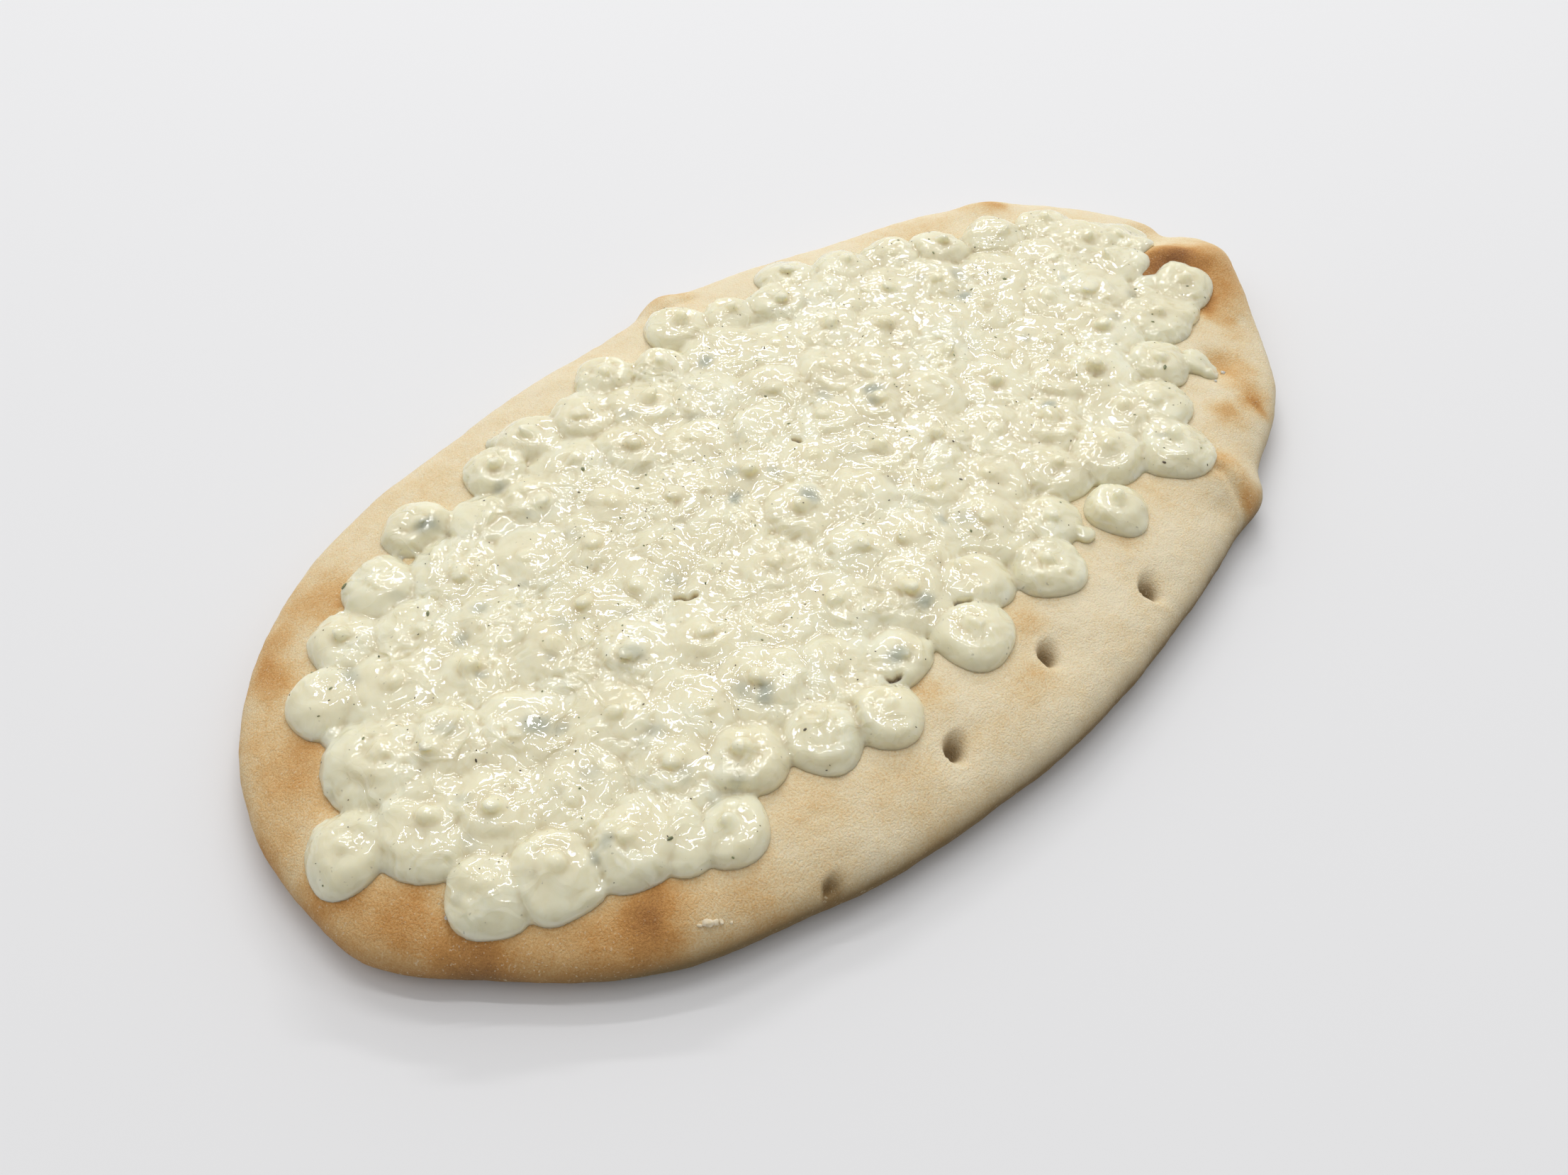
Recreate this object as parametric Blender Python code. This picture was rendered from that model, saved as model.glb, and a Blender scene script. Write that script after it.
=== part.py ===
"""An oval pita bread spread with dollops of herb and cucumber cream.

The loaf lies flat on +Z = 0 with its long axis on X and its origin under its middle. Its top is one height
function, so that the cream can be laid on it. The cream was set down by a row of nozzles in staggered columns
across the loaf, and the dollops have run into one scalloped sheet. One dollop lies clear of the sheet.
"""

import math
import random

import bmesh
import bpy
from mathutils import Matrix, Vector

MM = 0.001

# The loaf, in millimetres
CROWN_HEIGHT = 13.5
RIM_HEIGHT = 4.6
CROWN_WIDTH = 26.0
CROWN_POWER = 2.6
UNDER_WIDTH = 7.0
SEGMENTS = 92
CROWN_ROWS = 9
UNDER_ROWS = 4
INNER_RINGS = (0.30, 0.58)
FOOT_RINGS = (0.80, 0.45)
OUTLINE = (
    (134, -21), (129, 5), (115, 31), (99, 44), (67, 58), (32, 72), (-1, 75), (-41, 76),
    (-68, 74), (-95, 66), (-117, 50), (-130, 29), (-134, 8), (-133, -8), (-121, -26),
    (-101, -47), (-75, -60), (-34, -72), (16, -75), (66, -67), (95, -57), (112, -43), (126, -30),
)
# Lumps that stand out of the rim: where round the loaf, how far out, how wide along the rim
RIM_LUMPS = (((22, 74), 3.0, 6.0), ((60, -70), 2.8, 6.0), ((110, 36), 1.0, 6.0), ((131, -8), -4.0, 5.0))
# Blisters and hollows of the top: x, y, radius, height
BLISTERS = (
    (119, -25, 8.0, 5.2), (112, -15, 6.0, 3.6), (113, -36, 8.0, 2.6), (100, -24, 7.0, -1.2),
    (119, -5, 5.0, -2.2), (58, -65, 6.0, 2.2), (23, 72, 6.0, 1.4), (104, 34, 6.0, 1.4),
    (86, -44, 4.5, -2.4), (-118, 15, 4.0, -1.4), (-96, -43, 9.0, 0.8), (68, -57, 12.0, 0.7),
    (-40, -55, 16.0, 0.6), (-90, 57, 12.0, 0.5), (48, -69, 4.0, -1.6), (0, 69, 9.0, -0.6),
)
# Docker holes pricked through the crown: x, y, way the pin leaned in degrees
DOCKER_HOLES = ((-73, -60, -62), (-38, -60, -50), (-9, -61, -45), (19, -67, -30))
DOCKER_RADIUS = 2.2
DOCKER_DEPTH = 6.0
PIN_LEAN = 30

# The cream, in millimetres. Each column runs across the loaf: x, y of its first dollop, x, y of its last
# one, how many
COLUMNS = (
    (-123, 7, -123, 7, 1), (-113, -18, -107, 34, 4), (-103, -24, -95, 42, 5), (-91, -30, -83, 48, 6),
    (-78, -41, -68, 55, 7), (-66, -33, -57, 46, 6), (-53, -41, -46, 55, 7), (-42, -47, -35, 56, 8),
    (-30, -40, -23, 52, 7), (-16, -48, -10, 58, 8), (-5, -41, 1, 51, 7), (8, -49, 14, 58, 8),
    (19, -42, 25, 52, 7), (31, -35, 36, 46, 6), (43, -42, 46, 52, 7), (54, -51, 57, 43, 7),
    (63, -41, 68, 37, 6), (76, -35, 79, 29, 5), (90, -26, 91, 22, 4), (102, -8, 104, 15, 3),
    (104, -24, 104, -24, 1), (113, -3, 113, -3, 1),
)
LONE_DOLLOP = (31, -51.5, 7.3)
LONE_ROOM = 0.6
DABS = ((-40, 63, 2.0), (21, -50, 2.2), (83, -44, 2.6), (-111, 27, 2.4), (108, 9, 3.2), (96, -26, 5.5))
DOLLOP_RADIUS = 9.7
DOLLOP_RADIUS_SPREAD = 0.8
EDGE_RADIUS = 8.4
WANDER = 1.3
DOLLOP_SIDES = 10
# Rings of a dollop from its tip down: share of the radius, height over the bread
DOLLOP_TIP = 5.3
DOLLOP_TOP = 3.1
DOLLOP_RINGS = ((0.13, 4.9), (0.25, 3.1), (0.55, 3.7), (0.84, 3.0), (1.0, 1.3), (0.98, -1.6))
LEAN = 1.0
SHEET_HEIGHT = 2.5
SHEET_DEPTH = 2.5
SHEET_INSET = 5.0
# Cucumber dice that show in the cream: x, y, length
CUCUMBER = (
    (-86, -1, 4.2), (-67, 52, 3.4), (-10, -2, 4.0), (-31, -41, 3.6), (-54, -28, 3.4), (-17, -37, 3.0),
    (24, 8, 3.6), (-20, 10, 3.0), (99, 25, 3.0), (46, -24, 3.0), (8, 44, 3.0), (66, 13, 3.0),
)
CUCUMBER_HEIGHT = 3.7
KEPT_FACES = 0.37
GAP = 0.3
SEED = 7


def outline_at(points, angle):
    """Distance from the middle to the outline at this angle, on a smooth closed curve through the points."""
    count = len(points)
    polar = sorted((math.atan2(y, x), math.hypot(x, y)) for x, y in points)
    after = next((i for i, (a, _) in enumerate(polar) if a > angle), 0)
    near = [polar[(after + step) % count] for step in (-2, -1, 0, 1)]
    turn = 2 * math.pi
    start, end = near[1][0], near[2][0]
    span = (end - start) % turn
    t = ((angle - start) % turn) / span
    before = (start - near[0][0]) % turn
    beyond = (near[3][0] - end) % turn
    slope_in = (near[2][1] - near[0][1]) / (span + before) * span
    slope_out = (near[3][1] - near[1][1]) / (span + beyond) * span
    low, high = near[1][1], near[2][1]
    return (
        (2 * t**3 - 3 * t**2 + 1) * low
        + (t**3 - 2 * t**2 + t) * slope_in
        + (3 * t**2 - 2 * t**3) * high
        + (t**3 - t**2) * slope_out
    )


def rim_at(angle):
    """Distance from the middle to the loaf's rim at this angle, with its lumps."""
    radius = outline_at(OUTLINE, angle)
    for (x, y), out, width in RIM_LUMPS:
        away = radius * math.sin(angle - math.atan2(y, x))
        if math.cos(angle - math.atan2(y, x)) > 0:
            radius += out * math.exp(-((away / width) ** 2))
    return radius


def crown(inset):
    """Height of the plain crown at this distance in from the rim."""
    share = min(inset / CROWN_WIDTH, 1.0)
    rise = (1 - (1 - share) ** CROWN_POWER) ** (1 / CROWN_POWER)
    return RIM_HEIGHT + (CROWN_HEIGHT - RIM_HEIGHT) * rise


def waves(x, y):
    """Gentle unevenness of hand-sized dough."""
    return 0.35 * math.sin(x / 19 + 0.6) * math.cos(y / 14 - 0.4) + 0.25 * math.sin(x / 11 - y / 17)


def bread_top(x, y):
    """Height of the loaf's top over the table. Blisters and waves die out at the rim."""
    inset = max(rim_at(math.atan2(y, x)) - math.hypot(x, y), 0.0)
    blisters = sum(
        height * math.exp(-((x - bx) ** 2 + (y - by) ** 2) / radius**2)
        for bx, by, radius, height in BLISTERS
    )
    near_rim = 1 - math.exp(-inset / 4)
    return crown(inset) + (blisters + waves(x, y)) * near_rim


def ring_profile():
    """Rings of the loaf from the top's middle round the rim to the foot's middle.

    Each is (share of the way out, distance in from the rim, height or None where the top's function gives it).
    """
    rings = [(share, None, None) for share in INNER_RINGS]
    for row in range(CROWN_ROWS + 1):
        turn = row / CROWN_ROWS * math.pi / 2
        rings.append((1.0, CROWN_WIDTH * (1 - math.sin(turn) ** (2 / CROWN_POWER)), None))
    for row in range(1, UNDER_ROWS + 1):
        turn = row / UNDER_ROWS * math.pi / 2
        rings.append((1.0, UNDER_WIDTH * (1 - math.cos(turn)), RIM_HEIGHT * (1 - math.sin(turn))))
    rings += [(share, None, 0.0) for share in FOOT_RINGS]
    return rings


def add_object(name, mesh, collection, material=None):
    made = bpy.data.objects.new(name, mesh)
    collection.objects.link(made)
    if material:
        mesh.materials.append(material)
    return made


def mesh_from(shape, name):
    bmesh.ops.triangulate(shape, faces=shape.faces)
    bmesh.ops.recalc_face_normals(shape, faces=shape.faces)
    mesh = bpy.data.meshes.new(name)
    shape.to_mesh(mesh)
    shape.free()
    return mesh


def stacked_rings(segments, count, place):
    """A sphere whose rings are moved to place(row, angle), from row 0 at the top pole to the bottom pole."""
    shape = bmesh.new()
    bmesh.ops.create_uvsphere(shape, u_segments=segments, v_segments=count + 1, radius=1.0)
    for vert in shape.verts:
        row = round(math.acos(max(-1.0, min(1.0, vert.co.z))) / math.pi * (count + 1))
        vert.co = Vector(place(row, math.atan2(vert.co.y, vert.co.x))) * MM
    return shape


def loaf_mesh():
    """One closed skin on the loaf's section."""
    rings = [(0.0, None, None), *ring_profile(), (0.0, None, 0.0)]

    def place(row, angle):
        share, inset, height = rings[row]
        rim = rim_at(angle)
        reach = share * rim if inset is None else rim - inset
        x, y = reach * math.cos(angle), reach * math.sin(angle)
        return x, y, bread_top(x, y) if height is None else height

    return mesh_from(stacked_rings(SEGMENTS, len(rings) - 2, place), "bread")


def docker_pin(x, y, lean):
    """A blunt pin that leans as it goes in: one steep wall and one long slope."""
    shape = bmesh.new()
    bmesh.ops.create_uvsphere(shape, u_segments=12, v_segments=8, radius=1.0)
    bmesh.ops.scale(shape, vec=Vector((1.1, 1.0, DOCKER_DEPTH / DOCKER_RADIUS)), verts=shape.verts)
    bmesh.ops.scale(shape, vec=Vector((DOCKER_RADIUS * MM,) * 3), verts=shape.verts)
    bmesh.ops.rotate(shape, matrix=Matrix.Rotation(math.radians(PIN_LEAN), 3, "Y"), verts=shape.verts)
    bmesh.ops.rotate(shape, matrix=Matrix.Rotation(math.radians(lean), 3, "Z"), verts=shape.verts)
    place = Vector((x, y, bread_top(x, y) + 0.8)) * MM
    bmesh.ops.translate(shape, vec=place, verts=shape.verts)
    return mesh_from(shape, "docker_pin")


def apply_modifiers(target):
    bpy.context.view_layer.update()
    graph = bpy.context.evaluated_depsgraph_get()
    made = bpy.data.meshes.new_from_object(target.evaluated_get(graph))
    target.modifiers.clear()
    target.data = made


def apply_boolean(target, operation, solver, operand=None, collection=None):
    modifier = target.modifiers.new("boolean", "BOOLEAN")
    modifier.operation = operation
    modifier.solver = solver
    if collection:
        modifier.operand_type = "COLLECTION"
        modifier.collection = collection
    else:
        modifier.object = operand
    apply_modifiers(target)


def thin_out(target, share):
    """Merges the slivers that the union leaves along its seams."""
    modifier = target.modifiers.new("thin_out", "DECIMATE")
    modifier.ratio = share
    apply_modifiers(target)


def remove_collection(collection):
    for member in list(collection.objects):
        bpy.data.objects.remove(member)
    bpy.data.collections.remove(collection)


def new_collection(name):
    made = bpy.data.collections.new(name)
    bpy.context.scene.collection.children.link(made)
    return made


def dollop_mesh(x, y, radius, height, rng):
    """A round of cream with a rounded edge, a flat top and a tip that the nozzle pulled to one side."""
    turn = rng.uniform(0, math.pi)
    lean = rng.uniform(0, 2 * math.pi)
    pull = LEAN * rng.uniform(0.3, 1.0)
    wide, deep = rng.uniform(0.94, 1.06), rng.uniform(0.94, 1.06)
    rings = [(0.0, DOLLOP_TIP), *DOLLOP_RINGS, (0.0, DOLLOP_RINGS[-1][1])]

    def place(row, angle):
        reach, rise = rings[row]
        tipped = pull * max(rise - DOLLOP_TOP, 0) / (DOLLOP_TIP - DOLLOP_TOP)
        px = x + wide * radius * reach * math.cos(angle + turn) + tipped * math.cos(lean)
        py = y + deep * radius * reach * math.sin(angle + turn) + tipped * math.sin(lean)
        return px, py, bread_top(px, py) + (rise * height if rise > 0 else rise)

    return mesh_from(stacked_rings(DOLLOP_SIDES, len(rings) - 2, place), "dollop")


def along(first, last, place, count):
    return first if count == 1 else first + (last - first) * place / (count - 1)


def dollop_places(rng):
    """(x, y, radius, height share) of each dollop, column by column."""
    for x_first, y_first, x_last, y_last, count in COLUMNS:
        for place in range(count):
            at_edge = place in (0, count - 1)
            wander = 0.3 * WANDER if at_edge else WANDER
            radius = EDGE_RADIUS if at_edge else DOLLOP_RADIUS
            yield (
                along(x_first, x_last, place, count) + rng.uniform(-wander, wander),
                along(y_first, y_last, place, count) + rng.uniform(-wander, wander),
                radius + rng.uniform(-1, 1) * DOLLOP_RADIUS_SPREAD,
                rng.uniform(0.85, 1.12),
            )


def sheet_mesh():
    """The body of the sheet below the dollops: a plate inside the columns' ends."""
    whole = [column for column in COLUMNS if column[4] > 2]
    low = [Vector((x, y + SHEET_INSET, 0)) for x, y, _, _, _ in whole]
    high = [Vector((x, y - SHEET_INSET, 0)) for _, _, x, y, _ in whole]
    shape = bmesh.new()
    verts = [shape.verts.new(place * MM) for place in low + high[::-1]]
    face = shape.faces.new(verts)
    grown = bmesh.ops.extrude_face_region(shape, geom=[face])
    upper = [g for g in grown["geom"] if isinstance(g, bmesh.types.BMVert)]
    for vert in shape.verts:
        x, y = vert.co.x / MM, vert.co.y / MM
        vert.co.z = (bread_top(x, y) - SHEET_DEPTH) * MM
    for vert in upper:
        vert.co.z += (SHEET_DEPTH + SHEET_HEIGHT) * MM
    return mesh_from(shape, "sheet")


def dice_mesh(x, y, length, rng):
    """A die of cucumber that stands a little out of the cream."""
    shape = bmesh.new()
    bmesh.ops.create_cube(shape, size=1.0)
    bmesh.ops.scale(shape, vec=Vector((length, length * 0.7, length * 0.6)) * MM, verts=shape.verts)
    bmesh.ops.rotate(shape, matrix=Matrix.Rotation(rng.uniform(-0.4, 0.4), 3, "X"), verts=shape.verts)
    bmesh.ops.rotate(shape, matrix=Matrix.Rotation(rng.uniform(0, math.pi), 3, "Z"), verts=shape.verts)
    place = Vector((x, y, bread_top(x, y) + CUCUMBER_HEIGHT - length * 0.2)) * MM
    bmesh.ops.translate(shape, vec=place, verts=shape.verts)
    return mesh_from(shape, "dice")


def food_material(name, colour, roughness):
    material = bpy.data.materials.new(name)
    material.use_nodes = True
    shader = material.node_tree.nodes["Principled BSDF"]
    shader.inputs["Base Color"].default_value = (*colour, 1.0)
    shader.inputs["Roughness"].default_value = roughness
    shader.inputs["Metallic"].default_value = 0.0
    return material


def build_bread(part, cutters):
    bread = add_object("bread", loaf_mesh(), part, food_material("baked_dough", (0.76, 0.58, 0.36), 0.8))
    for hole in DOCKER_HOLES:
        cut_away(bread, docker_pin(*hole), cutters)
    return bread


def cut_away(target, mesh, cutters):
    """Cuts the space of this mesh out of the target."""
    cutter = add_object("cutter", mesh, cutters)
    apply_boolean(target, "DIFFERENCE", "MANIFOLD", operand=cutter)
    bpy.data.objects.remove(cutter)


def fill_bubbles(item):
    """Drops the small closed skins, such as air sealed in below the dollops, and keeps the outer one."""
    shape = bmesh.new()
    shape.from_mesh(item.data)
    left = set(shape.faces)
    skins = []
    while left:
        skin = [left.pop()]
        for face in skin:
            near = {other for edge in face.edges for other in edge.link_faces} & left
            left -= near
            skin.extend(near)
        skins.append(skin)
    largest = max(skins, key=len)
    small = [face for skin in skins if skin is not largest for face in skin]
    bmesh.ops.delete(shape, geom=small, context="FACES")
    shape.to_mesh(item.data)
    shape.free()


def build_cream(part, cutters, bread):
    rng = random.Random(SEED)
    finish = food_material("herb_cream", (0.80, 0.77, 0.60), 0.25)
    loose = new_collection("dollops")
    for x, y, radius, height in dollop_places(rng):
        add_object("dollop", dollop_mesh(x, y, radius, height, rng), loose)
    for x, y, radius in DABS:
        add_object("dab", dollop_mesh(x, y, radius, radius / EDGE_RADIUS + 0.2, rng), loose)
    for x, y, length in CUCUMBER:
        add_object("dice", dice_mesh(x, y, length, rng), loose)
    spread = add_object("cream_spread", sheet_mesh(), part)
    apply_boolean(spread, "UNION", "MANIFOLD", collection=loose)
    remove_collection(loose)
    fill_bubbles(spread)
    thin_out(spread, KEPT_FACES)
    x, y, radius = LONE_DOLLOP
    room = dollop_mesh(x, y, radius + LONE_ROOM, 2.0, random.Random(SEED))
    cut_away(spread, room, cutters)
    lone = add_object("cream_dollop", dollop_mesh(x, y, radius, 1.0, random.Random(SEED)), part)
    for cream in (spread, lone):
        raised = bread.data.copy()
        raised.transform(Matrix.Translation((0, 0, GAP * MM)))
        cut_away(cream, raised, cutters)
        fill_bubbles(cream)
        cream.data.materials.clear()
        cream.data.materials.append(finish)


def centre_on_origin(part, bread):
    """Puts the middle of the loaf's box over the origin."""
    corners = [Vector(corner) for corner in bread.bound_box]
    middle = sum(corners, Vector()) / len(corners)
    for member in part.objects:
        member.data.transform(Matrix.Translation((-middle.x, -middle.y, 0)))


def main():
    for old in list(bpy.data.objects):
        bpy.data.objects.remove(old)
    part = new_collection("pita_bread")
    cutters = new_collection("cutters")
    bread = build_bread(part, cutters)
    build_cream(part, cutters, bread)
    bpy.context.view_layer.update()
    centre_on_origin(part, bread)
    bpy.data.collections.remove(cutters)


main()
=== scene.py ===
import bisect
import math
import random

import bmesh
import bpy
import numpy as np
from mathutils import Matrix, Vector, noise
from mathutils.bvhtree import BVHTree


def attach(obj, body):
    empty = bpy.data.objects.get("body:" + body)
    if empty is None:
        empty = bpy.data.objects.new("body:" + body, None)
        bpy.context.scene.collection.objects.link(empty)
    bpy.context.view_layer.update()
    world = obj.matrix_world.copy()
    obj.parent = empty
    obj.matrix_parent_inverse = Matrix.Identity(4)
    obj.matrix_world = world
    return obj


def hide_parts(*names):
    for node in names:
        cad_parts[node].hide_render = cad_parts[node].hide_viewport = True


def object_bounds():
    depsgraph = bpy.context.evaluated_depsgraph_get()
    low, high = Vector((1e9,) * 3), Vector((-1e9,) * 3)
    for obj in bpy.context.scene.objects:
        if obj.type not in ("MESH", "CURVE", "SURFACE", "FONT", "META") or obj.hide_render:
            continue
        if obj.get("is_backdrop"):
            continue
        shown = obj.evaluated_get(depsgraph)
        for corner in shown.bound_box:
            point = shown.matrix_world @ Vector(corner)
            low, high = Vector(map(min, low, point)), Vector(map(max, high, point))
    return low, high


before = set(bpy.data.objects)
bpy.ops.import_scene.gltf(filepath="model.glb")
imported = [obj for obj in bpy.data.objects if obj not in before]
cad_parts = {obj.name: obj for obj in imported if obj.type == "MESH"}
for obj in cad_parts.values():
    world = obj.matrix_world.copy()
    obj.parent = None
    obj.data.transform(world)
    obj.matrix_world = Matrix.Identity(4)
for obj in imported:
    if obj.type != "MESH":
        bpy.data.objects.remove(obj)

solid_low, solid_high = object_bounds()

# The camera
# It looks down on the loaf at fifty degrees, with the loaf's long axis running up to the right, and
# takes in sixty degrees across.
heading = math.radians(49.5)
tilt_down = math.radians(50)
look = Vector((
    math.sin(heading) * math.cos(tilt_down),
    math.cos(heading) * math.cos(tilt_down),
    -math.sin(tilt_down),
))
camera = bpy.data.objects.new("camera", bpy.data.cameras.new("camera"))
bpy.context.scene.collection.objects.link(camera)
camera.location = (-0.16228, -0.12570, 0.22079)
camera.rotation_euler = look.to_track_quat("-Z", "Y").to_euler()
SENSOR_WIDTH = 36
camera.data.sensor_width = SENSOR_WIDTH
camera.data.lens = SENSOR_WIDTH / 2 / math.tan(math.radians(30))
camera.data.clip_start = 0.001
bpy.context.scene.camera = camera

# The baked loaf
# A flat oval of white yeast dough, rolled out, pricked along its near side with a docker and baked
# on a hot floor. It has a matt crust with toasted spots, one big browned blister and a rounded rim.
NOISE_SEED = 11
noise.seed_set(NOISE_SEED)
MM = 0.001
LOAF_SHIFT = Vector((0.07, -0.63, 0.0)) * MM
CROWN_HEIGHT = 13.5
RIM_HEIGHT = 4.6
CROWN_WIDTH = 26.0
CROWN_POWER = 2.6
UNDER_WIDTH = 7.0
LOAF_SEGMENTS = 900
CROWN_ROWS = 72
UNDER_ROWS = 14
INNER_RINGS = (0.15, 0.30, 0.45, 0.58)
FOOT_RINGS = (0.80, 0.45)
OUTLINE = (
    (134, -21), (129, 5), (115, 31), (99, 44), (67, 58), (32, 72), (-1, 75), (-41, 76),
    (-68, 74), (-95, 66), (-117, 50), (-130, 29), (-134, 8), (-133, -8), (-121, -26),
    (-101, -47), (-75, -60), (-34, -72), (16, -75), (66, -67), (95, -57), (112, -43), (126, -30),
)
# Lumps of the outline: towards, how far out, half width
RIM_LUMPS = (
    ((22, 74), 3.0, 6.0), ((60, -70), 2.8, 6.0), ((110, 36), 1.0, 6.0), ((131, -8), -4.0, 5.0),
)
# Blisters and dents of the crown: x, y, radius, height
BLISTERS = (
    (119, -25, 8.0, 5.2), (112, -15, 6.0, 3.6), (113, -36, 8.0, 2.6), (100, -24, 7.0, -1.2),
    (119, -5, 5.0, -2.2), (58, -65, 6.0, 2.2), (23, 72, 6.0, 1.4), (104, 34, 6.0, 1.4),
    (86, -44, 4.5, -2.4), (-118, 15, 4.0, -1.4), (-96, -43, 9.0, 0.8), (68, -57, 12.0, 0.7),
    (-40, -55, 16.0, 0.6), (-90, 57, 12.0, 0.5), (48, -69, 4.0, -1.6), (0, 69, 9.0, -0.6),
)
# Holes of the docker's pins: x, y, direction of the steep lip
DOCKER_HOLES = ((-73, -60, -62), (-38, -60, -50), (-9, -61, -45), (19, -67, -30))
HOLE_DEPTH = 5.0
HOLE_REACH = 20.0
# Folds in the crust: from, to, half width, depth
CRUST_FOLDS = (
    ((-119, -14), (-126, -24), 1.3, 0.8), ((97, -13), (106, -14), 2.0, 1.8),
    ((56, -62), (52, -74), 1.3, 1.3), ((-114, -34), (-119, -28), 1.6, 0.5),
    ((27, 66), (15, 68), 1.4, 0.7),
)


def outline_at(points, angle):
    """Radius of a smooth closed curve through points given as (angle, radius)."""
    count = len(points)
    after = bisect.bisect_right([a for a, _ in points], angle) % count
    near = [points[(after + step) % count] for step in (-2, -1, 0, 1)]
    turn = 2 * math.pi
    start, end = near[1][0], near[2][0]
    span = (end - start) % turn
    t = ((angle - start) % turn) / span
    before = (start - near[0][0]) % turn
    beyond = (near[3][0] - end) % turn
    slope_in = (near[2][1] - near[0][1]) / (span + before) * span
    slope_out = (near[3][1] - near[1][1]) / (span + beyond) * span
    low, high = near[1][1], near[2][1]
    return (
        (2 * t**3 - 3 * t**2 + 1) * low
        + (t**3 - 2 * t**2 + t) * slope_in
        + (3 * t**2 - 2 * t**3) * high
        + (t**3 - t**2) * slope_out
    )


polar_outline = sorted((math.atan2(y, x), math.hypot(x, y)) for x, y in OUTLINE)


def rim_at(angle):
    radius = outline_at(polar_outline, angle)
    for (x, y), out, width in RIM_LUMPS:
        away = radius * math.sin(angle - math.atan2(y, x))
        if math.cos(angle - math.atan2(y, x)) > 0:
            radius += out * math.exp(-((away / width) ** 2))
    return radius


RIM_STEPS = 3600
rim_table = [rim_at(-math.pi + 2 * math.pi * step / RIM_STEPS) for step in range(RIM_STEPS + 1)]


def inset_at(x, y):
    """How far inside the loaf's outline a place lies, in millimetres."""
    place = (math.atan2(y, x) + math.pi) / (2 * math.pi) * RIM_STEPS
    step = min(int(place), RIM_STEPS - 1)
    rim = rim_table[step] + (rim_table[step + 1] - rim_table[step]) * (place - step)
    return max(rim - math.hypot(x, y), 0.0)


def bread_top(x, y):
    """Height of the loaf's smooth upper face over the floor."""
    inset = inset_at(x, y)
    share = min(inset / CROWN_WIDTH, 1.0)
    rise = (1 - (1 - share) ** CROWN_POWER) ** (1 / CROWN_POWER)
    height = 0.35 * math.sin(x / 19 + 0.6) * math.cos(y / 14 - 0.4) + 0.25 * math.sin(x / 11 - y / 17)
    for bx, by, radius, lift in BLISTERS:
        away = (x - bx) ** 2 + (y - by) ** 2
        if away < 9 * radius * radius:
            height += lift * math.exp(-away / radius**2)
    return RIM_HEIGHT + (CROWN_HEIGHT - RIM_HEIGHT) * rise + height * (1 - math.exp(-inset / 4))


def smooth_step(low, high, value):
    t = min(max((value - low) / (high - low), 0.0), 1.0)
    return t * t * (3 - 2 * t)


def segment_distance(x, y, start, end):
    ax, ay = end[0] - start[0], end[1] - start[1]
    t = min(max(((x - start[0]) * ax + (y - start[1]) * ay) / (ax * ax + ay * ay), 0.0), 1.0)
    return math.hypot(x - start[0] - ax * t, y - start[1] - ay * t)


def crust_marks(x, y):
    """Depth that the docker's pins and the folds take out of the crown here."""
    depth = 0.0
    for hx, hy, lean in DOCKER_HOLES:
        dx, dy = x - hx, y - hy
        if dx * dx + dy * dy < HOLE_REACH**2:
            turn = math.radians(lean)
            out = dx * math.cos(turn) + dy * math.sin(turn)
            side = dy * math.cos(turn) - dx * math.sin(turn)
            out -= 0.16 * side * side
            wall = smooth_step(-2.5, -1.5, out)
            slope = math.exp(-(max(out + 1.3, 0.0) / 2.5) ** 2)
            depth += HOLE_DEPTH * wall * slope * math.exp(-((side / 2.1) ** 2))
            depth += 0.9 * math.exp(-(dx * dx + dy * dy) / 36)
    for start, end, width, deep in CRUST_FOLDS:
        away = segment_distance(x, y, start, end)
        if away < 4 * width:
            depth += deep * math.exp(-((away / width) ** 2))
    return depth


loaf_rings = [(0.0, None, None)]
loaf_rings += [(share, None, None) for share in INNER_RINGS]
for row in range(CROWN_ROWS + 1):
    turn = row / CROWN_ROWS * math.pi / 2
    loaf_rings.append((1.0, CROWN_WIDTH * (1 - math.sin(turn) ** (2 / CROWN_POWER)), None))
for row in range(1, UNDER_ROWS + 1):
    turn = row / UNDER_ROWS * math.pi / 2
    loaf_rings.append((1.0, UNDER_WIDTH * (1 - math.cos(turn)), RIM_HEIGHT * (1 - math.sin(turn))))
loaf_rings += [(share, None, 0.0) for share in FOOT_RINGS]
loaf_rings.append((0.0, None, 0.0))


def rolled_skin(shape, sides, rings, place):
    """A grid rolled round Z into a closed skin, with its points at place(ring, angle), top ring first."""
    grid = bmesh.ops.create_grid(shape, x_segments=sides, y_segments=rings, size=1.0)["verts"]
    seam = []
    for vert in grid:
        column = round((vert.co.x + 1) / 2 * sides)
        ring = round((1 - vert.co.y) / 2 * rings)
        vert.co = Vector(place(ring, 2 * math.pi * (column % sides) / sides - math.pi))
        if column in (0, sides) or ring in (0, rings):
            seam.append(vert)
    bmesh.ops.remove_doubles(shape, verts=seam, dist=1e-6)


def loaf_place(ring, angle):
    share, inset, height = loaf_rings[ring]
    rim = rim_at(angle)
    reach = share * rim if inset is None else rim - inset
    x, y = reach * math.cos(angle), reach * math.sin(angle)
    if height is None:
        height = bread_top(x, y) - crust_marks(x, y) * (1 - math.exp(-max(rim - reach, 0) / 3))
    return x, y, height


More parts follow.
